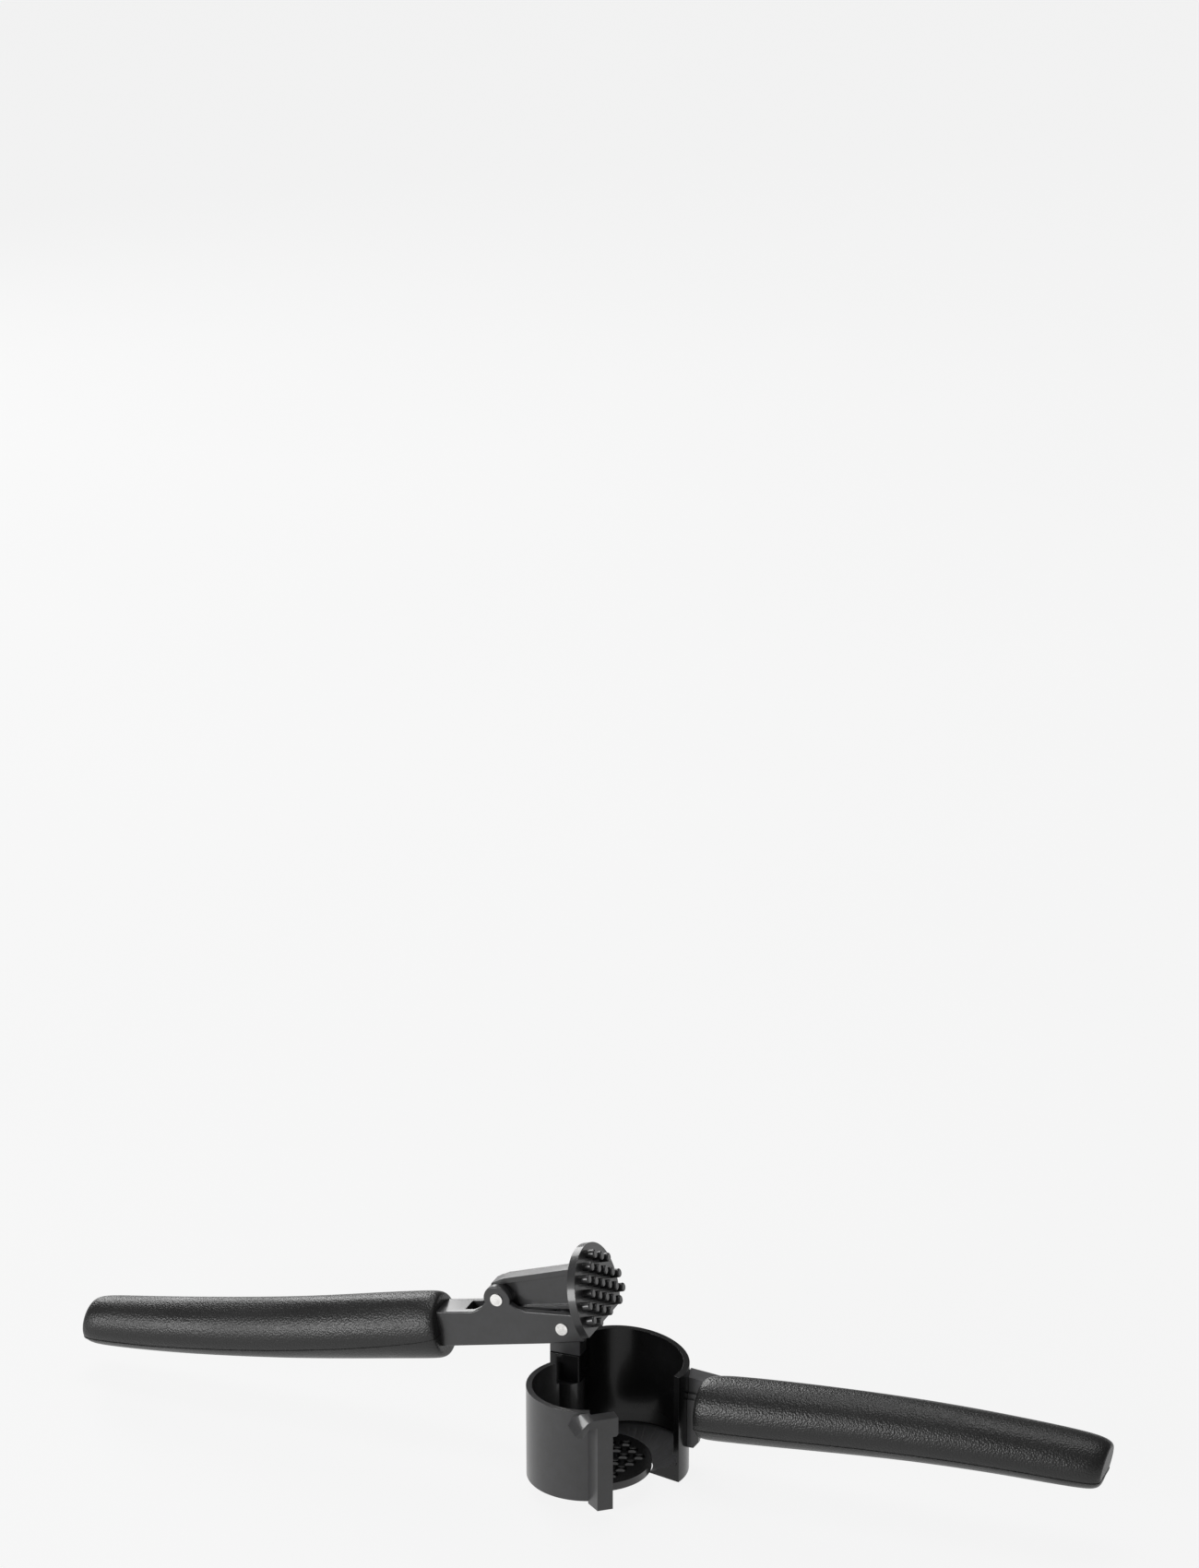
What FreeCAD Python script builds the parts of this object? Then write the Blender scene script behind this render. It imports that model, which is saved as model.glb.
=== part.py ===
# Garlic press: fixed basket half with handle, swinging basket half with sieve, lever and piston.
# Frame: millimetres, +Z up along the basket axis, +X towards the fixed handle, foot plane at Z 0.
import FreeCAD, Part
import math
import os

V = FreeCAD.Vector
UP = V(0, 0, 1)
doc = FreeCAD.newDocument("garlic_press")
sheet = doc.addObject("Spreadsheet::Sheet", "dims")

DIMS = [
    # basket
    ("cup_inner_radius", 16.5), ("cup_outer_radius", 18.4), ("rim_height", 36.9), ("rim_slope_deg", 6.8),
    ("foot_lip_radius", 7.4), ("foot_lip_height", 5.4), ("groove_radius", 17.7), ("groove_top", 9.0),
    ("fixed_end_deg", -14.2), ("fixed_span_deg", 190.0),
    # swinging half
    ("swing_bottom", 4.0), ("swing_top", 33.2), ("swing_end_deg", -15.4), ("swing_open_deg", 51.3),
    ("knuckle_radius", 5.0), ("knuckle_low", 8.7), ("knuckle_high", 26.3), ("knuckle_gap", 0.5),
    ("eye_low", 5.7), ("sieve_open_deg", 44.3), ("seat_gap", 0.15),
    ("sieve_radius", 17.0), ("sieve_bottom", 6.0), ("sieve_thickness", 2.4), ("hole_pitch", 4.65),
    ("hole_radius", 1.6), ("countersink_flat", 3.9), ("countersink_depth", 1.0), ("sieve_hole_limit", 13.6),
    # vertical hinge
    ("hinge_x", -19.3), ("hinge_pin_radius", 2.0), ("hinge_pin_length", 33.4), ("running_gap", 0.05),
    # post that carries the lever
    ("post_half_length", 4.9), ("post_half_width", 2.7), ("ledge_height", 35.2), ("pivot_height", 44.5),
    # lever
    ("lever_open_deg", 191.0), ("arm_half_width", 5.1), ("arm_wall", 2.05), ("arm_web", 2.0),
    ("crank_radius", 21.9), ("crank_deg", 27.0), ("ear_radius", 4.3), ("pivot_pin_radius", 1.95),
    ("pivot_pin_proud", 0.35), ("arm_length", 42.0), ("arm_tang_length", 72.0),
    # piston
    ("piston_open_deg", 15.96), ("rod_length", 30.78), ("disc_radius", 15.5), ("disc_flat", 8.5),
    ("disc_drop", 3.53), ("disc_thickness", 2.6), ("peg_radius", 1.35), ("peg_length", 3.0),
    ("peg_limit", 12.9), ("peg_shift", -1.1625), ("closed_disc_x", -1.01), ("arm_sweep_radius", 8.1),
]
for row, (alias, value) in enumerate(DIMS, start=1):
    sheet.set("A%d" % row, alias)
    sheet.set("B%d" % row, str(value))
    sheet.setAlias("B%d" % row, alias)
doc.recompute()


def d(alias):
    return float(sheet.get(alias))


def put(obj, pos=None, turn=None):
    obj.Placement = FreeCAD.Placement(pos or V(), turn or FreeCAD.Rotation())
    return obj


def cylinder(name, radius, height, pos=None, turn=None, angle=None):
    """Part cylinder whose size follows the sheet; radius and height are expressions."""
    c = put(doc.addObject("Part::Cylinder", name), pos, turn)
    c.setExpression("Radius", radius)
    c.setExpression("Height", height)
    if angle:
        c.setExpression("Angle", angle)
    return c


def box(name, low, high, turn=None):
    b = put(doc.addObject("Part::Box", name), V(*low), turn)
    b.Length, b.Width, b.Height = [h - l for l, h in zip(low, high)]
    return b


def fuse(name, parts):
    f = doc.addObject("Part::MultiFuse", name)
    f.Shapes = parts
    f.Refine = True
    return f


def cut(name, base, tool):
    c = doc.addObject("Part::Cut", name)
    c.Base, c.Tool = base, tool
    c.Refine = True
    return c


def common(name, parts):
    c = doc.addObject("Part::MultiCommon", name)
    c.Shapes = parts
    return c


def solid(name, shape):
    f = doc.addObject("Part::Feature", name)
    f.Shape = shape
    return f


def prism(points, low, high, normal="y"):
    """Polygon in XZ swept along Y, or in XY swept along Z."""
    if normal == "y":
        wire = [V(a, low, b) for a, b in points]
        sweep = V(0, high - low, 0)
    else:
        wire = [V(a, b, low) for a, b in points]
        sweep = V(0, 0, high - low)
    return Part.Face(Part.makePolygon(wire + wire[:1])).extrude(sweep)


def soften(shape, radius, test):
    """Fillet the edges that pass the test; the plain shape stays where the kernel cannot."""
    try:
        out = shape.makeFillet(radius, [e for e in shape.Edges if test(e)])
    except (Part.OCCError, RuntimeError):
        return shape
    return out if out.isValid() and out.Volume > 0 else shape


H = V(d("hinge_x"), 0, 0)
PIVOT = V(d("hinge_x"), 0, d("pivot_height"))
CRANK = V(d("crank_radius") * math.cos(math.radians(d("crank_deg"))), 0,
          -d("crank_radius") * math.sin(math.radians(d("crank_deg"))))
LEVER = FreeCAD.Placement(PIVOT, FreeCAD.Rotation(V(0, -1, 0), d("lever_open_deg")))
PISTON = FreeCAD.Placement(LEVER.multVec(CRANK), FreeCAD.Rotation(V(0, -1, 0), d("piston_open_deg")))
SWING = FreeCAD.Placement(V(), FreeCAD.Rotation(UP, -d("swing_open_deg")), H)
SIEVE = FreeCAD.Placement(V(), FreeCAD.Rotation(UP, -d("sieve_open_deg")), H)
nodes = {}


def keep(name, obj, place=None):
    obj.Label = name
    if place is not None:
        obj.Placement = place.multiply(obj.Placement)
    nodes[name] = obj


# ---- fixed basket half -------------------------------------------------------------------
start = FreeCAD.Rotation(UP, d("fixed_end_deg"))
outer = cylinder("fixed_outer", "dims.cup_outer_radius", "dims.rim_height + 4", turn=start,
                 angle="dims.fixed_span_deg")
bore = cylinder("fixed_bore", "dims.cup_inner_radius", "60", V(0, 0, d("groove_top")))
groove = cylinder("fixed_groove", "dims.groove_radius", "dims.groove_top - dims.foot_lip_height",
                  V(0, 0, d("foot_lip_height")))
lip = put(doc.addObject("Part::Cone", "fixed_lip"))
lip.setExpression("Radius1", "dims.foot_lip_radius")
lip.setExpression("Radius2", "dims.cup_inner_radius")
lip.setExpression("Height", "dims.foot_lip_height")
shell = cut("fixed_shell", outer, fuse("fixed_hollow", [bore, groove, lip]))
rim_cut = box("fixed_rim_cut", (-40, -40, 0), (40, 40, 20))
rim_cut.Placement = FreeCAD.Placement(V(0, 0, d("rim_height")),
                                      FreeCAD.Rotation(V(0, 1, 0), d("rim_slope_deg"))).multiply(
    FreeCAD.Placement(V(-40, -40, 0), FreeCAD.Rotation()))
shell = cut("fixed_shell_rimmed", shell, rim_cut)
sweep_room = cylinder("fixed_knuckle_room", "dims.knuckle_radius + dims.knuckle_gap",
                      "dims.knuckle_high - dims.eye_low + 0.8", H + V(0, 0, d("eye_low") - 0.5))
open_side = box("fixed_open_side", (-40, -20, -1), (-12, 0.2, 60))
side = FreeCAD.Rotation(V(1, 0, 0), -90)
arm_sweep = cylinder("fixed_arm_sweep", "dims.arm_sweep_radius", "2 * dims.arm_half_width + 1",
                     PIVOT - V(0, d("arm_half_width") + 0.5, 0), side)
half = d("post_half_length")
post_room = box("fixed_post_room", (H.x - half, -d("post_half_width"), d("ledge_height")),
                (H.x + half, d("post_half_width"), 60))
shell = cut("fixed_shell_clear", shell, fuse("fixed_clearances", [sweep_room, open_side, arm_sweep, post_room]))
low_knuckle = cylinder("fixed_low_knuckle", "dims.knuckle_radius", "dims.eye_low - 0.5", H)
block_low = d("knuckle_high") + 0.3
block = common("fixed_block", [
    box("fixed_block_box", (H.x - half, -3.2, block_low), (H.x + half, 5.2, d("ledge_height"))),
    cylinder("fixed_block_round", "dims.knuckle_radius + 0.5", "60", H)])
block_back = box("fixed_block_back", (H.x - half, 0.5, block_low), (H.x + 4.2, 7.5, d("ledge_height")))
casting = fuse("fixed_casting", [shell, low_knuckle, block, block_back])
pin_bore = cylinder("fixed_pin_bore", "dims.hinge_pin_radius", "dims.hinge_pin_length", H + V(0, 0, 0.8))
keep("fixed_basket_half", cut("fixed_half", casting, pin_bore))

# ---- post with the lever pivot ------------------------------------------------------------
tongue = fuse("post_tongue", [
    box("post_web", (H.x - half, -d("post_half_width"), d("ledge_height")),
        (H.x + half, d("post_half_width"), d("pivot_height"))),
    cylinder("post_round", "dims.post_half_length", "2 * dims.post_half_width",
             PIVOT - V(0, d("post_half_width"), 0), side)])
cross_bore = cylinder("post_bore", "dims.pivot_pin_radius + dims.running_gap", "20", PIVOT - V(0, 10, 0), side)
keep("hinge_post", cut("post", tongue, cross_bore))
keep("basket_hinge_pin", cylinder("vertical_pin", "dims.hinge_pin_radius", "dims.hinge_pin_length",
                                  H + V(0, 0, 0.8)))

# ---- neck, latch rail and tang of the fixed handle ------------------------------------------
neck_shape = prism([(17, 13.5), (22, 12.0), (27, 14.5), (27, 31.0), (17, 32.0)], 2.4, 8.4)
rail = prism([(17.2, 9.3), (20.5, 9.3), (22.2, 11.5), (22.2, 25.1), (17.2, 25.1)], 0.9, 2.4)
step = prism([(17.2, 25.1), (23.0, 25.1), (23.0, 26.8), (17.2, 26.8)], 1.6, 2.4)
TANG = prism([(27, 17.5), (58, 21.5), (58, 31.0), (27, 31.0)], -4.0, 4.0)
neck_shape = neck_shape.fuse([rail, step, TANG]).removeSplitter()
neck_shape = neck_shape.cut(Part.makeCylinder(d("cup_outer_radius"), 70, V(0, 0, -5)))
keep("handle_neck", solid("neck", neck_shape))


# ---- grips ----------------------------------------------------------------------------------
def section(x, z, half_w, half_h, twist=0.0, power=2.3, count=28):
    """Closed rounded section standing across X."""
    pts = []
    for i in range(count):
        t = 2 * math.pi * i / count
        c, s = math.cos(t), math.sin(t)
        y = half_w * math.copysign(abs(c) ** (2 / power), c)
        h = half_h * math.copysign(abs(s) ** (2 / power), s)
        a = math.radians(twist)
        pts.append(V(x, y * math.cos(a) - h * math.sin(a), z + y * math.sin(a) + h * math.cos(a)))
    curve = Part.BSplineCurve()
    curve.interpolate(pts, PeriodicFlag=True)
    return Part.Wire([curve.toShape()])


def grip(stations, pocket, seam):
    """Loft the stations, hollow it for the tang and split it along the seam polyline."""
    body = Part.makeLoft([section(*s) for s in stations], True, True)
    body = body.cut(pocket)
    x0, x1 = seam[0][0] - 20, seam[-1][0] + 20
    below = prism([(x0, seam[0][1])] + seam + [(x1, seam[-1][1]), (x1, -90), (x0, -90)], -40, 40)
    return body.cut(below), body.common(below)


LOWER_STATIONS = [
    (23.6, 23.9, 8.2, 8.0), (24.6, 24.0, 9.2, 9.1), (27.0, 24.2, 9.6, 9.6), (40.0, 25.3, 9.8, 9.8),
    (55.0, 26.5, 9.8, 9.7), (75.0, 28.0, 9.5, 9.4), (95.0, 29.0, 9.2, 9.0), (115.0, 29.2, 9.0, 8.5),
    (132.0, 28.9, 8.8, 8.0), (141.5, 28.6, 8.4, 7.5), (146.2, 28.4, 7.2, 6.5), (148.3, 28.3, 5.4, 4.8),
]
LOWER_SEAM = [(20, 20.2), (40, 21.6), (75, 24.0), (105, 25.2), (152, 25.0)]
upper, under = grip(LOWER_STATIONS, TANG.fuse(neck_shape), LOWER_SEAM)
keep("lower_grip_top_shell", solid("lower_grip_top", upper))
keep("lower_grip_bottom_shell", solid("lower_grip_bottom", under))

# ---- swinging half, modelled closed and then opened about the hinge --------------------------
swing_from = FreeCAD.Rotation(UP, 190.0)
ring = cylinder("swing_outer", "dims.cup_outer_radius - 0.1", "dims.swing_top - dims.swing_bottom",
                V(0, 0, d("swing_bottom")), swing_from, "170 + dims.swing_end_deg")
seat_low = V(0, 0, d("sieve_bottom") - d("seat_gap"))
ring_bore = cylinder("swing_bore", "dims.cup_inner_radius", "60", seat_low)
ring_lip = cylinder("swing_lip", "dims.cup_inner_radius - 2", "60", V(0, 0, 0))
seat = cylinder("swing_seat", "dims.sieve_radius + dims.seat_gap", "dims.sieve_thickness + 2 * dims.seat_gap",
                seat_low)
above = cylinder("swing_block_room", "dims.knuckle_radius + 0.9", "20", H + V(0, 0, d("knuckle_high")))
below = cylinder("swing_low_room", "dims.knuckle_radius + dims.knuckle_gap", "dims.knuckle_low",
                 H)
ring = cut("swing_ring", ring, fuse("swing_hollow", [ring_bore, ring_lip, seat, above, below]))
knuckle = cylinder("swing_knuckle", "dims.knuckle_radius", "dims.knuckle_high - dims.knuckle_low",
                   H + V(0, 0, d("knuckle_low")))
running = cylinder("swing_pin_bore", "dims.hinge_pin_radius + dims.running_gap", "60", H)
swing = cut("swing_half", fuse("swing_body", [ring, knuckle]), running)
keep("swing_basket_half", swing, SWING)

# sieve with hexagonal countersunk holes on the same lattice as the pegs
LATTICE = [(d("hole_pitch") * (i + 0.5 * (j % 2)) + d("peg_shift"), d("hole_pitch") * math.sqrt(0.75) * j)
           for j in range(-4, 5) for i in range(-5, 6)]


def hexagon(cx, cy, flat):
    r = flat / math.sqrt(3)
    return [(cx + r * math.cos(math.radians(60 * k)), cy + r * math.sin(math.radians(60 * k)))
            for k in range(6)]


z0, z1 = d("sieve_bottom"), d("sieve_bottom") + d("sieve_thickness")
plate = Part.makeCylinder(d("sieve_radius"), z1 - z0, V(0, 0, z0))
tools = []
for a, b in LATTICE:
    a += d("closed_disc_x")
    if math.hypot(a, b) < d("sieve_hole_limit"):
        tools.append(Part.makeCylinder(d("hole_radius"), 8, V(a, b, z0 - 2)))
        tools.append(prism(hexagon(a, b, d("countersink_flat")), z1 - d("countersink_depth"), z1 + 1, "z"))
eye = Part.makeCylinder(d("knuckle_radius"), z1 - z0, H + V(0, 0, z0))
tools.append(Part.makeCylinder(d("hinge_pin_radius") + d("running_gap"), 8, H + V(0, 0, z0 - 2)))
keep("sieve_plate", solid("sieve", plate.fuse(eye).removeSplitter().cut(tools)), SIEVE)

# latch: flange on the end of the swinging half with a hooked head and a thumb tail
flange = prism([(16.0, -4.95), (17.4, -5.4), (22.9, -4.2), (22.9, 0.6), (18.9, 0.6), (18.9, -4.95)],
               3.3, 30.7, "z")
plan = prism([(16.0, -4.95), (18.9, -4.95), (18.9, 2.2), (23.1, 2.2), (23.2, -6.6), (24.9, -9.4), (24.6, -12.0),
              (17.4, -12.0), (15.5, -8.4)], 25, 34, "z")
scoop = [(2.2, 27.8), (2.2, 33.2), (-5.0, 33.2), (-7.6, 32.8), (-9.7, 31.7), (-11.5, 29.8), (-10.8, 29.1),
         (-9.0, 28.9), (-7.3, 30.4), (-3.0, 30.6), (0.3, 27.1), (1.6, 27.1)]
side_view = Part.Face(Part.makePolygon([V(14, y, z) for y, z in scoop + scoop[:1]])).extrude(V(20, 0, 0))
latch = flange.fuse(plan.common(side_view)).removeSplitter()
latch = latch.cut(Part.makeCylinder(d("cup_outer_radius") - 0.1, 70, V(0, 0, -5)))
latch = soften(latch, 0.4, lambda e: abs(e.CenterOfMass.z - 33.2) < 0.01)
keep("latch_hook", solid("latch", latch), SWING)

# ---- lever, modelled level and then opened about its pivot -------------------------------------
w, wall = d("arm_half_width"), d("arm_wall")
inner = w - wall
profile = [(-6.4, 4.2), (5.0, 4.7), (d("arm_length"), 5.0), (d("arm_length"), -6.3), (28.3, -6.2),
           (25.2, -7.4), (23.4, -9.2), (CRANK.x, CRANK.z), (15.6, -8.6), (13.6, -6.9), (10.7, -6.0),
           (-3.5, -4.6), (-6.4, -2.6)]
cheek = prism(profile, -w, w).fuse(
    Part.makeCylinder(d("ear_radius"), 2 * w, V(CRANK.x, -w, CRANK.z), V(0, 1, 0))).removeSplitter()
slot = prism([(-20, 20), (7, 20), (7, 4.9 - d("arm_web")), (38, 4.9 - d("arm_web")), (38, -4.2),
              (31.5, -4.2), (31.5, -30), (-20, -30)], -inner, inner)
tang = prism([(d("arm_length"), -4.3), (d("arm_tang_length"), -3.6), (d("arm_tang_length"), 2.8),
              (d("arm_length"), 3.4)], -3.6, 3.6)
arm = cheek.cut(slot).fuse(tang).removeSplitter()
for centre in (V(0, -10, 0), CRANK - V(0, 10, 0)):
    arm = arm.cut(Part.makeCylinder(d("pivot_pin_radius") + d("running_gap"), 20, centre, V(0, 1, 0)))
arm = soften(arm, 0.45, lambda e: abs(abs(e.CenterOfMass.y) - w) < 0.01 and abs(e.Length - 12.57) > 0.5)
keep("lever_arm", solid("lever_channel", arm), LEVER)

LEVER_STATIONS = [
    (40.6, 0.0, 8.4, 9.2), (41.4, 0.0, 9.4, 10.1), (43.5, -0.1, 9.8, 10.5), (54.0, 0.0, 9.9, 10.3),
    (68.0, 0.2, 9.8, 10.1), (88.0, 0.3, 9.5, 9.7), (108.0, -0.2, 9.2, 9.2), (128.0, -1.2, 9.0, 8.5),
    (146.0, -2.7, 8.8, 8.2), (156.5, -3.8, 8.4, 7.8), (161.4, -4.2, 7.6, 7.0), (163.3, -4.4, 6.0, 5.4),
]
LEVER_SEAM = [(38, 1.0), (60, 3.2), (85, 4.3), (110, 4.2), (140, 2.6), (168, -0.6)]
outer_side, inner_side = grip(LEVER_STATIONS, cheek.fuse(tang), LEVER_SEAM)
keep("lever_grip_bottom_shell", solid("lever_grip_outer", outer_side), LEVER)
keep("lever_grip_top_shell", solid("lever_grip_inner", inner_side), LEVER)


def cross_pin(name, place, centre):
    length = "2 * (dims.arm_half_width + dims.pivot_pin_proud)"
    reach = d("arm_half_width") + d("pivot_pin_proud")
    keep(name, cylinder(name + "_rod", "dims.pivot_pin_radius", length, centre - V(0, reach, 0), side), place)


cross_pin("lever_pivot_pin", LEVER, V())
cross_pin("piston_pivot_pin", LEVER, CRANK)

# ---- piston, modelled along X from its pivot ------------------------------------------------------
rod = d("rod_length") - d("disc_thickness")
boss_w = inner - 0.35
arm_web = prism([(0, -4.4), (9, -5.4), (rod, -6.4), (rod, 4.6), (9, 4.2), (0, 4.2)], -1.3, 1.3)
top_flange = prism([(-2.2, 3.4), (3.2, 3.9), (rod, 4.5), (rod, 6.2), (3.0, 5.6), (-1.4, 4.6)], -2.5, 2.5)
low_flange = prism([(3.0, -5.2), (rod, -7.0), (rod, -5.8), (3.0, -4.0)], -2.2, 2.2)
boss = Part.makeCylinder(4.3, 2 * boss_w, V(0, -boss_w, 0), V(0, 1, 0))
link = arm_web.fuse([top_flange, low_flange, boss]).removeSplitter()
link = link.cut(Part.makeCylinder(d("pivot_pin_radius") + d("running_gap"), 20, V(0, -10, 0), V(0, 1, 0)))
keep("piston_arm", solid("piston_link", link), PISTON)

face = d("rod_length")
disc = Part.makeCylinder(d("disc_radius"), d("disc_thickness"), V(rod, 0, -d("disc_drop")), V(1, 0, 0))
disc = disc.cut(Part.makeBox(20, 60, 30, V(rod - 5, -30, -d("disc_drop") - d("disc_flat") - 30)))
pegs = []
for a, b in LATTICE:
    if math.hypot(a, b) < d("peg_limit") and a > -d("disc_flat") + 1.6:
        centre = V(face, b, a - d("disc_drop"))
        peg = Part.makeCylinder(d("peg_radius"), d("peg_length"), centre, V(1, 0, 0))
        pegs.append(soften(peg, 0.45, lambda e: abs(e.CenterOfMass.x - face - d("peg_length")) < 0.01))
keep("piston_disc", solid("piston_head", disc.fuse(pegs)), PISTON)

# ---- check and export ------------------------------------------------------------------------------
doc.recompute()
os.makedirs("parts", exist_ok=True)
for obj in doc.Objects:
    if "Invalid" in obj.State or "Error" in obj.State:
        raise RuntimeError("%s did not compute" % obj.Label)
for name, obj in nodes.items():
    shape = obj.Shape
    if shape.isNull() or not shape.isValid() or len(shape.Solids) != 1:
        raise RuntimeError("%s: valid %s, solids %d" % (name, shape.isValid(), len(shape.Solids)))
    shape.exportStep("parts/%s.step" % name)
    b = shape.BoundBox
    print("%-26s %8.1f mm3  x %7.1f %7.1f  y %6.1f %6.1f  z %6.1f %6.1f" % (
        name, shape.Volume, b.XMin, b.XMax, b.YMin, b.YMax, b.ZMin, b.ZMax))
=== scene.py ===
import math
import bpy
from mathutils import Matrix, Vector


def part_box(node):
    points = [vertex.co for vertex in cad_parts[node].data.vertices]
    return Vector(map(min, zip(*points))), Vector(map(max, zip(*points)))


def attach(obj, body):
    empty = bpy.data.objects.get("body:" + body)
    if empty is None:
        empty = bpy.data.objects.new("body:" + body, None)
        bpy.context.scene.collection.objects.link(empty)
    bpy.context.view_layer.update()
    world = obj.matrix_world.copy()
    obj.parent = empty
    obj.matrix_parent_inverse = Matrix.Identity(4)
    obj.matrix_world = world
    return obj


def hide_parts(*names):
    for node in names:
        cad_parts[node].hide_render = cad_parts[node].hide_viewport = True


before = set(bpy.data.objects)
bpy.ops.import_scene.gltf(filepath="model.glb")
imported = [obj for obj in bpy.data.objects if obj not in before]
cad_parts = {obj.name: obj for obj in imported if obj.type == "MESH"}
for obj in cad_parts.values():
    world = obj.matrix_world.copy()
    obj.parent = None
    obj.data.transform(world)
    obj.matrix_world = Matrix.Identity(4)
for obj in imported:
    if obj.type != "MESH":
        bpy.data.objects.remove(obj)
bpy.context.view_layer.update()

MM = 0.001
MERGE_DISTANCE = 0.002 * MM
FLAT_ANGLE = math.radians(0.8)                 # faces closer than this to one plane become one face
EDGE_ANGLE = math.radians(38)
SMOOTH_ANGLE = math.radians(35)
PIVOT = Vector((-19.3, 0, 44.5)) * MM          # lever pivot, at rest
LEVER_TURN = math.radians(191)                 # lever opened this far from pointing along +X
LEVER_PLACE = Matrix.Translation(PIVOT) @ Matrix.Rotation(-LEVER_TURN, 4, "Y")


# ---- small helpers ---------------------------------------------------------------------------
def deselect():
    if bpy.context.object and bpy.context.object.mode != "OBJECT":
        bpy.ops.object.mode_set(mode="OBJECT")
    bpy.ops.object.select_all(action="DESELECT")


def take(obj):
    """Make obj the only selected, active object."""
    deselect()
    obj.select_set(True)
    bpy.context.view_layer.objects.active = obj
    return obj


def edit(obj, mode="VERT"):
    take(obj)
    bpy.ops.object.mode_set(mode="EDIT")
    bpy.ops.mesh.select_mode(type=mode)
    bpy.ops.mesh.select_all(action="DESELECT")


def done():
    bpy.ops.object.mode_set(mode="OBJECT")


def pick(obj, test, kind="vertices"):
    """Select by place: back to object mode, mark, and into edit mode again."""
    bpy.ops.object.mode_set(mode="OBJECT")
    for item in getattr(obj.data, kind):
        item.select = bool(test(item))
    bpy.ops.object.mode_set(mode="EDIT")


def modifier(obj, kind, name, **values):
    take(obj)
    m = obj.modifiers.new(name, kind)
    for k, v in values.items():
        setattr(m, k, v)
    bpy.ops.object.modifier_apply(modifier=m.name)


def finish_piece(obj, name, body, material, nodes):
    obj.name = obj.data.name = name
    obj.data.materials.clear()
    obj.data.materials.append(material)
    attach(obj, body)
    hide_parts(*nodes)
    return obj


# ---- materials -------------------------------------------------------------------------------
def new_material(name, **sockets):
    m = bpy.data.materials.new(name)
    m.use_nodes = True
    shader = m.node_tree.nodes["Principled BSDF"]
    for k, v in sockets.items():
        shader.inputs[k.replace("_", " ")].default_value = v
    coords = m.node_tree.nodes.new("ShaderNodeTexCoord")
    return m, m.node_tree, shader, coords.outputs["Object"]


def noise(tree, where, scale, detail=3.0, rough=0.5):
    n = tree.nodes.new("ShaderNodeTexNoise")
    n.inputs["Scale"].default_value = scale
    n.inputs["Detail"].default_value = detail
    n.inputs["Roughness"].default_value = rough
    tree.links.new(where, n.inputs["Vector"])
    return n.outputs["Fac"]


def remap(tree, value, low, high, start=0.3, end=0.7):
    r = tree.nodes.new("ShaderNodeMapRange")
    for k, v in zip(("From Min", "From Max", "To Min", "To Max"), (start, end, low, high)):
        r.inputs[k].default_value = v
    tree.links.new(value, r.inputs["Value"])
    return r.outputs["Result"]


def tint(tree, value, dark, light, start=0.35, end=0.65):
    r = tree.nodes.new("ShaderNodeValToRGB")
    r.color_ramp.elements[0].position, r.color_ramp.elements[1].position = start, end
    r.color_ramp.elements[0].color = (*dark, 1)
    r.color_ramp.elements[1].color = (*light, 1)
    tree.links.new(value, r.inputs["Fac"])
    return r.outputs["Color"]


def bumps(tree, shader, layers):
    """Stack bump layers: (height, strength, depth in metres)."""
    normal = None
    for height, strength, depth in layers:
        b = tree.nodes.new("ShaderNodeBump")
        b.inputs["Strength"].default_value = strength
        b.inputs["Distance"].default_value = depth
        tree.links.new(height, b.inputs["Height"])
        if normal:
            tree.links.new(normal, b.inputs["Normal"])
        normal = b.outputs["Normal"]
    tree.links.new(normal, shader.inputs["Normal"])


def coated_metal(name, shade, rough, grain, shine=0.45, coat=0.35):
    m, tree, shader, where = new_material(name, Metallic=0.0, Specular_IOR_Level=shine, Coat_Weight=coat,
                                          Coat_Roughness=0.1)
    cloud = noise(tree, where, 60, 4)
    fine = noise(tree, where, 2600, 2)
    orange_peel = noise(tree, where, 700, 2)
    scuffs = noise(tree, where, 240, 8, 0.7)
    tree.links.new(tint(tree, scuffs, (shade * 0.9,) * 3, (shade * 1.15, shade * 1.15, shade * 1.22)),
                   shader.inputs["Base Color"])
    tree.links.new(remap(tree, cloud, rough - 0.03, rough + 0.04), shader.inputs["Roughness"])
    bumps(tree, shader, [(orange_peel, 0.08, 0.00008), (fine, grain, 0.00005)])
    return m


def moulded(name, shade, rough, grain, pit):
    m, tree, shader, where = new_material(name, Specular_IOR_Level=0.42)
    cloud = noise(tree, where, 45, 4)
    cells = tree.nodes.new("ShaderNodeTexVoronoi")
    cells.inputs["Scale"].default_value = pit
    tree.links.new(where, cells.inputs["Vector"])
    fine = noise(tree, where, pit * 1.6, 3, 0.6)
    tree.links.new(tint(tree, fine, (shade * 0.75,) * 3, (shade * 1.3,) * 3),
                   shader.inputs["Base Color"])
    tree.links.new(remap(tree, cloud, rough - 0.04, rough + 0.06), shader.inputs["Roughness"])
    bumps(tree, shader, [(cells.outputs["Distance"], grain, 0.0002), (fine, grain * 0.8, 0.00013)])
    return m


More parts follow.
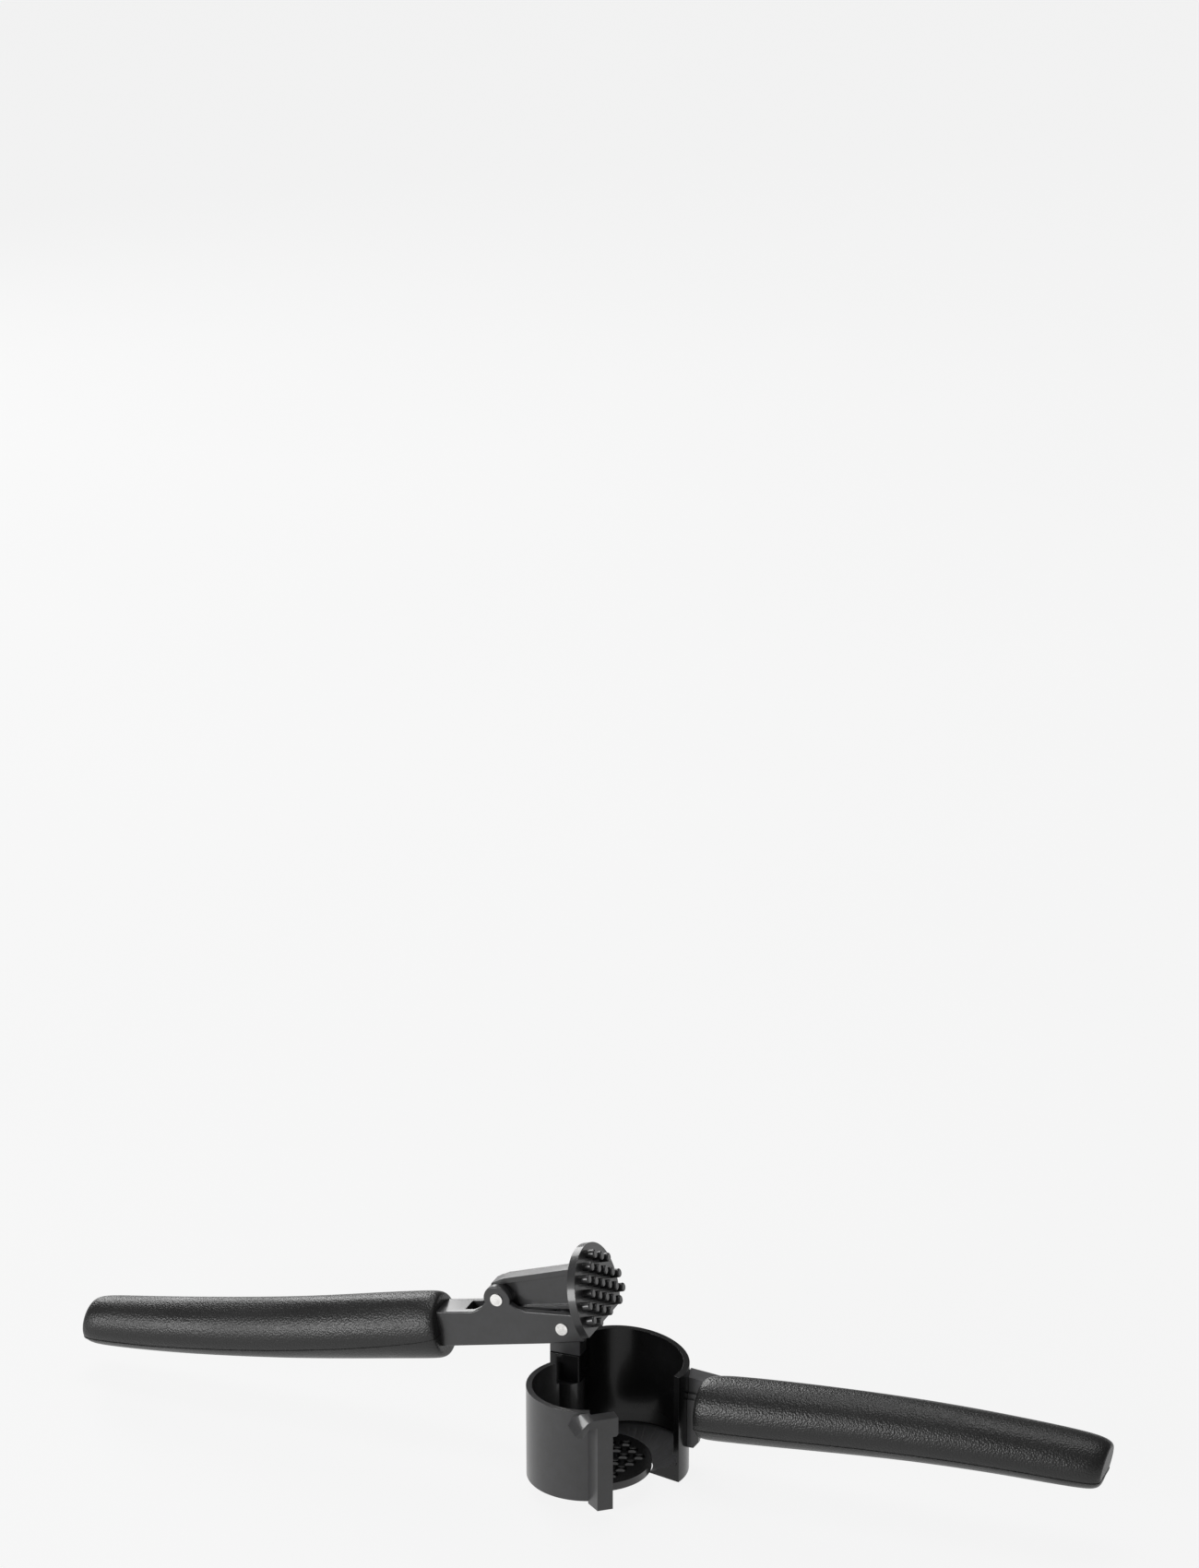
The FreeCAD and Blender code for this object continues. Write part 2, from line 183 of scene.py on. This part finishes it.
def brushed_pin(name):
    m, tree, shader, where = new_material(name, Metallic=1.0)
    turn = tree.nodes.new("ShaderNodeMapping")
    turn.inputs["Scale"].default_value = (1.0, 1.0, 6.0)
    tree.links.new(where, turn.inputs["Vector"])
    lines = noise(tree, turn.outputs["Vector"], 1500, 3, 0.7)
    smudge = noise(tree, where, 500, 4)
    tree.links.new(tint(tree, smudge, (0.68, 0.67, 0.65), (0.93, 0.92, 0.9)),
                   shader.inputs["Base Color"])
    tree.links.new(remap(tree, lines, 0.22, 0.42), shader.inputs["Roughness"])
    bumps(tree, shader, [(lines, 0.25, 0.00006)])
    return m


satin_black = coated_metal("satin_black_coating", 0.028, 0.33, 0.05)
# cup back half: a glossier copy of the black coating whose much darker base colour is painted shade on
# its inner wall
shaded_gloss_black = coated_metal("glossy_black_coating_painted_shade", 0.005, 0.25, 0.03, 0.28, 0.12)
sieve_black = coated_metal("sieve_black_coating", 0.008, 0.24, 0.03, 0.5, 0.25)
# neck and latch rail: a lighter copy of the satin black coating, painted light on the shaded neck and
# rail
lit_neck_black = coated_metal("neck_black_coating_painted_light", 0.085, 0.33, 0.05)
# foot ledge: duller finish, with a lighter base colour that is painted light
lit_ledge_black = coated_metal("ledge_black_coating_painted_light", 0.10, 0.5, 0.05, 0.3, 0.0)
cast_black = coated_metal("grainy_black_coating", 0.020, 0.40, 0.35)
grip_grain = moulded("grained_black_grip", 0.010, 0.37, 0.5, 1700)
grip_plain = moulded("fine_black_grip", 0.011, 0.37, 0.35, 2000)
pin_steel = brushed_pin("brushed_pin_steel")


# ---- metal pieces: the frame's shapes with softened edges -----------------------------------------
def soften(node, name, body, material, width):
    """Merged copy of a frame piece; a width of 0 keeps its edges as they are."""
    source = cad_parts[node]
    obj = bpy.data.objects.new(name, source.data.copy())
    bpy.context.scene.collection.objects.link(obj)
    edit(obj)
    bpy.ops.mesh.customdata_custom_splitnormals_clear()
    bpy.ops.mesh.select_all(action="SELECT")
    bpy.ops.mesh.remove_doubles(threshold=MERGE_DISTANCE)
    if width:
        bpy.ops.mesh.dissolve_limited(angle_limit=FLAT_ANGLE)
        bpy.ops.mesh.normals_make_consistent(inside=False)
    done()
    if width:
        modifier(obj, "BEVEL", "edge", width=width * MM, segments=2, limit_method="ANGLE",
                 angle_limit=EDGE_ANGLE, miter_outer="MITER_ARC", use_clamp_overlap=True)
    take(obj)
    bpy.ops.object.shade_smooth_by_angle(angle=SMOOTH_ANGLE)
    if width:
        modifier(obj, "WEIGHTED_NORMAL", "even", keep_sharp=True, weight=80)
    return finish_piece(obj, name, body, material, [node])


SOFTENED = [
    ("fixed_basket_half", "cup_back_half", "frame", shaded_gloss_black, "metal", 0.45),
    ("hinge_post", "lever_post", "frame", satin_black, "metal", 0.35),
    ("handle_neck", "neck_and_latch_rail", "frame", lit_neck_black, "metal", 0.4),
    ("swing_basket_half", "cup_front_half", "basket_front", satin_black, "metal", 0.5),
    ("sieve_plate", "sieve_disc", "sieve", sieve_black, "sieve", 0),
    ("latch_hook", "latch_and_thumb_tail", "basket_front", satin_black, "metal", 0.35),
    ("lever_arm", "lever_channel_arm", "lever", satin_black, "metal", 0.3),
    ("piston_arm", "piston_link", "piston", satin_black, "metal", 0.3),
    ("piston_disc", "piston_head_with_pegs", "piston", cast_black, "metal", 0.12),
]
for node, name, body, material, slot, width in SOFTENED:
    soften(node, name, body, material, width)

# the sloping foot ledge inside the back half has a duller coating whose lighter base colour is painted
# light on its upward faces
LEDGE_TOP = 5.5 * MM
LEDGE_RADIUS = 17.9 * MM


def on_ledge(face):
    low_enough = face.center.z < LEDGE_TOP and face.center.xy.length < LEDGE_RADIUS
    return low_enough and face.normal.z > 0.2


back_half = bpy.data.objects["cup_back_half"]
back_half.data.materials.append(lit_ledge_black)
edit(back_half, "FACE")
pick(back_half, on_ledge, "polygons")
back_half.active_material_index = 1
bpy.ops.object.material_slot_assign()
done()


# ---- pins: rods with domed, brushed ends ------------------------------------------------------------
DOME_STEPS = (0.10, 0.16, 0.22)                # each ring of the dome is wider and shallower
PIN_BEVEL = 0.12 * MM
PIN_ANGLE = math.radians(40)


def domed_pin(node, name, body):
    low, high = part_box(node)
    centre, radius = (low + high) / 2, (high.x - low.x) / 2
    length = high.y - low.y
    deselect()
    bpy.ops.mesh.primitive_cylinder_add(vertices=48, radius=radius, depth=length, location=centre,
                                        rotation=(math.radians(90), 0, 0))
    obj = bpy.context.object
    bpy.ops.object.transform_apply(location=True, rotation=True, scale=True)
    edit(obj, "FACE")
    pick(obj, lambda f: abs(f.normal.y) > 0.9, "polygons")
    for step in DOME_STEPS:
        bpy.ops.mesh.inset(thickness=radius * step * 1.1, depth=radius * (0.10 - step * 0.3))
    done()
    modifier(obj, "BEVEL", "edge", width=PIN_BEVEL, segments=2, limit_method="ANGLE",
             angle_limit=PIN_ANGLE)
    for v in obj.data.vertices:
        v.co.y = max(min(v.co.y, high.y), low.y)
    take(obj)
    bpy.ops.object.shade_smooth_by_angle(angle=PIN_ANGLE)
    finish_piece(obj, name, body, pin_steel, [node])


domed_pin("lever_pivot_pin", "lever_pin_rod", "lever_pin")
domed_pin("piston_pivot_pin", "piston_pin_rod", "piston_pin")
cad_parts["basket_hinge_pin"].data.materials.clear()
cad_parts["basket_hinge_pin"].data.materials.append(pin_steel)


# ---- grips --------------------------------------------------------------------------------------------
RING = 16
RIDGE_HALF_WIDTH = 14                          # degrees either side of the ridge
END_INSETS = (1.1 * MM, 1.5 * MM)
BEAD_HEIGHT = 0.4
BEAD_PROUD = 0.14 * MM
SKIN_STEP = 0.16 * MM
LIP_BEVEL = 0.3 * MM
LIP_ANGLE = math.radians(50)
GRIP_SMOOTH = math.radians(45)


def grip_body(stations, ridge):
    """Extrude a ring along the stations: x, z, half width, half height, twist and lean.

    Lengths are in millimetres and turns in degrees. The ridge is its start, end, lift and angle.
    """
    x, z, half_w, half_h, twist, lean = stations[0]
    deselect()
    bpy.ops.mesh.primitive_circle_add(vertices=RING, radius=MM, fill_type="NGON", location=(0, 0, 0),
                                      rotation=(0, math.radians(90), 0))
    obj = bpy.context.object
    bpy.ops.object.transform_apply(location=True, rotation=True, scale=True)
    bpy.ops.object.mode_set(mode="EDIT")
    bpy.ops.mesh.select_all(action="SELECT")
    bpy.ops.transform.resize(value=(1, half_w, half_h))
    bpy.ops.transform.rotate(value=-math.radians(twist), orient_axis="X", center_override=(0, 0, 0))
    bpy.ops.transform.translate(value=(x * MM, 0, z * MM))
    last = stations[0]
    for s in stations[1:]:
        bpy.ops.mesh.extrude_region_move(TRANSFORM_OT_translate={
            "value": ((s[0] - last[0]) * MM, 0, (s[1] - last[1]) * MM)})
        at = (s[0] * MM, 0, s[1] * MM)
        bpy.ops.transform.rotate(value=math.radians(last[4]), orient_axis="X", center_override=at)
        bpy.ops.transform.resize(value=(1, s[2] / last[2], s[3] / last[3]), center_override=at)
        bpy.ops.transform.rotate(value=-math.radians(s[4]), orient_axis="X", center_override=at)
        bpy.ops.transform.rotate(value=math.radians(last[5] - s[5]), orient_axis="Y", center_override=at)
        last = s
    done()
    # soft ridge that runs the length of the grip and winds over its top
    start, end, lift, angle = ridge

    def on_ridge(v):
        if not start * MM < v.co.x < end * MM:
            return False
        s = min(stations, key=lambda q: abs(q[0] * MM - v.co.x))
        turn = math.degrees(math.atan2((v.co.z - s[1] * MM) / s[3], v.co.y / s[2]))
        return abs((turn - s[4] - angle + 180) % 360 - 180) < RIDGE_HALF_WIDTH

    edit(obj)
    pick(obj, on_ridge)
    bpy.ops.transform.shrink_fatten(value=lift * MM)
    done()
    edit(obj, "FACE")
    pick(obj, lambda f: len(f.vertices) == RING and abs(f.normal.x) > 0.7, "polygons")
    for width in END_INSETS:
        bpy.ops.mesh.inset(thickness=width, depth=0)
    done()
    edit(obj)
    bpy.ops.mesh.select_all(action="SELECT")
    bpy.ops.mesh.normals_make_consistent(inside=False)
    done()
    modifier(obj, "SUBSURF", "round", levels=3, render_levels=3)
    return obj


def seam_block(points, height=60):
    """Solid that reaches this many millimetres down from the seam line."""
    deselect()
    x0, z0 = points[0]
    bpy.ops.mesh.primitive_plane_add(size=1, location=(0, 0, 0))
    obj = bpy.context.object
    edit(obj)
    bpy.ops.mesh.select_all(action="SELECT")
    bpy.ops.transform.rotate(value=math.radians(90), orient_axis="Y", center_override=(0, 0, 0))
    bpy.ops.transform.resize(value=(1, 60 * MM, height * MM), center_override=(0, 0, 0))
    bpy.ops.transform.translate(value=(x0 * MM, 0, (z0 - height / 2) * MM))
    for (xa, za), (xb, zb) in zip(points, points[1:]):
        bpy.ops.mesh.extrude_region_move(TRANSFORM_OT_translate={
            "value": ((xb - xa) * MM, 0, (zb - za) * MM)})
    bpy.ops.mesh.select_all(action="SELECT")
    bpy.ops.mesh.normals_make_consistent(inside=False)
    done()
    return obj


def parting_bead(whole, seam):
    """Thin proud line left by the mould where the two skins meet."""
    strip = seam_block([(x, z + 0.15) for x, z in seam], BEAD_HEIGHT)
    obj = bpy.data.objects.new("parting_bead", whole.data.copy())
    bpy.context.scene.collection.objects.link(obj)
    edit(obj)
    bpy.ops.mesh.select_all(action="SELECT")
    bpy.ops.transform.shrink_fatten(value=BEAD_PROUD)
    done()
    modifier(obj, "BOOLEAN", "part", object=strip, operation="INTERSECT", solver="EXACT")
    bpy.data.objects.remove(strip)
    return obj


def part_skins(whole, seam, names, body, nodes, skins, place):
    block = seam_block(seam)
    for name, node, operation, (material, slot) in zip(names, nodes, ("DIFFERENCE", "INTERSECT"), skins):
        obj = bpy.data.objects.new(name, whole.data.copy())
        bpy.context.scene.collection.objects.link(obj)
        if material is grip_plain:
            edit(obj)
            bpy.ops.mesh.select_all(action="SELECT")
            bpy.ops.transform.shrink_fatten(value=-SKIN_STEP)
            done()
        modifier(obj, "BOOLEAN", "part", object=block, operation=operation, solver="EXACT")
        modifier(obj, "BEVEL", "lip", width=LIP_BEVEL, segments=2, limit_method="ANGLE",
                 angle_limit=LIP_ANGLE)
        if material is grip_grain:
            bead = parting_bead(whole, seam)
            take(obj)
            bead.select_set(True)
            bpy.ops.object.join()
        obj.data.transform(place)
        take(obj)
        bpy.ops.object.shade_smooth_by_angle(angle=GRIP_SMOOTH)
        finish_piece(obj, name, body, material, [node])
    for spare in (whole, block):
        bpy.data.objects.remove(spare)


LOWER = [
    (23.4, 23.9, 7.6, 7.6, 0, 0), (23.5, 23.9, 8.9, 8.8, 0, 0), (25.2, 24.1, 9.8, 9.8, 0, 0),
    (30, 24.5, 10.0, 10.0, 0, 0), (42, 25.5, 10.2, 10.0, 4, 0), (56, 26.6, 10.2, 9.9, 10, 0),
    (75, 28.0, 9.9, 9.6, 18, 0), (95, 29.0, 9.6, 9.2, 24, 0), (115, 29.2, 9.3, 8.7, 27, 0),
    (132, 28.9, 9.1, 8.2, 28, 0), (140.5, 28.7, 8.8, 7.9, 28, 0), (145.8, 28.5, 8.3, 7.4, 28, 4),
    (148.0, 28.4, 6.9, 6.1, 28, 8),
]
LOWER_SEAM = [(18, 20.0), (30, 20.9), (42, 21.7), (58, 22.9), (75, 24.0), (90, 24.7), (105, 25.2),
              (125, 25.4), (152, 25.0)]
UPPER = [
    (40.4, 0.0, 7.8, 8.6, 0, 0), (40.5, 0.0, 9.2, 9.9, 0, 0), (42.2, 0.0, 9.9, 10.7, 0, 0),
    (47, 0.0, 10.1, 10.7, 0, 0), (58, 0.0, 10.2, 10.5, 4, 0), (72, 0.2, 10.0, 10.2, 10, 0),
    (90, 0.3, 9.7, 9.8, 18, 0), (108, -0.1, 9.5, 9.4, 24, 0), (128, -0.9, 9.3, 9.0, 28, 0),
    (145, -2.2, 9.0, 8.6, 30, 0), (155, -3.1, 8.7, 8.2, 30, 6), (160.5, -3.5, 8.2, 7.7, 30, 12),
    (162.5, -3.7, 6.8, 6.2, 30, 14),
]
UPPER_SEAM = [(36, 0.6), (48, 2.2), (60, 3.2), (72, 3.9), (85, 4.3), (98, 4.4), (112, 4.1), (126, 3.5),
              (140, 2.6), (170, -0.8)]

GRAINED, PLAIN = (grip_grain, "grip"), (grip_plain, "grip_smooth")
lower = grip_body(LOWER, (28, 112, 0.7, 67))
part_skins(lower, LOWER_SEAM, ("fixed_grip_upper_skin", "fixed_grip_under_skin"), "frame",
           ("lower_grip_top_shell", "lower_grip_bottom_shell"), (GRAINED, PLAIN), Matrix.Identity(4))
upper = grip_body(UPPER, (44, 128, 0.7, -113))
part_skins(upper, UPPER_SEAM, ("lever_grip_under_skin", "lever_grip_upper_skin"), "lever",
           ("lever_grip_bottom_shell", "lever_grip_top_shell"), (PLAIN, GRAINED), LEVER_PLACE)

# ---- floor, light and camera --------------------------------------------------------------------------
deselect()
bpy.ops.mesh.primitive_plane_add(size=30, location=(0, 6, 0))
floor = bpy.context.object
floor.name = "studio_floor"
m, tree, shader, where = new_material("pale_floor", Roughness=0.9, Specular_IOR_Level=0.05,
                                      Emission_Strength=0.872, Emission_Color=(1, 1, 1, 1))
tree.links.new(tint(tree, noise(tree, where, 3, 3), (0.045, 0.045, 0.045), (0.05, 0.05, 0.05)),
               shader.inputs["Base Color"])
floor.data.materials.append(m)
floor.visible_diffuse = False

world = bpy.data.worlds.new("studio")
bpy.context.scene.world = world
world.use_nodes = True
world.node_tree.nodes["Background"].inputs["Color"].default_value = (1, 1, 1, 1)
world.node_tree.nodes["Background"].inputs["Strength"].default_value = 0.2


def softbox(name, place, aim, width, height, power):
    light = bpy.data.lights.new(name, "AREA")
    light.shape, light.size, light.size_y, light.energy = "RECTANGLE", width, height, power
    obj = bpy.data.objects.new(name, light)
    bpy.context.scene.collection.objects.link(obj)
    obj.location = place
    obj.rotation_euler = (Vector(aim) - Vector(place)).to_track_quat("-Z", "Y").to_euler()


softbox("overhead", (-0.1, 0.15, 1.4), (0, 0, 0.02), 0.7, 0.5, 6)
softbox("front_left", (-0.55, -0.8, 0.29), (-0.08, 0, 0.03), 0.5, 0.36, 8)
softbox("back_left", (-0.9, 1.0, 0.7), (0, 0, 0.03), 0.5, 0.8, 9)

LENS, SENSOR = 110.117647, 36.0                # millimetres
TILT, TURN = math.radians(19.907), math.radians(21.016)
TARGET = Vector((0, 0, 4)) * MM
DISTANCE, SLIDE, RISE = 1.4444444, 0.0085872, 0.2017147
back = Vector((math.sin(TURN) * math.cos(TILT), -math.cos(TURN) * math.cos(TILT), math.sin(TILT)))
right = Vector((math.cos(TURN), math.sin(TURN), 0))
up = back.cross(right)
eye = TARGET + back * DISTANCE - right * SLIDE + up * RISE
lens = bpy.data.cameras.new("camera")
lens.sensor_width, lens.lens = SENSOR, LENS
lens.clip_start, lens.clip_end = 0.05, 60
camera = bpy.data.objects.new("camera", lens)
bpy.context.scene.collection.objects.link(camera)
camera.matrix_world = Matrix.Translation(eye) @ Matrix((right, up, back)).transposed().to_4x4()
bpy.context.scene.camera = camera
bpy.context.scene.view_settings.view_transform = "Standard"
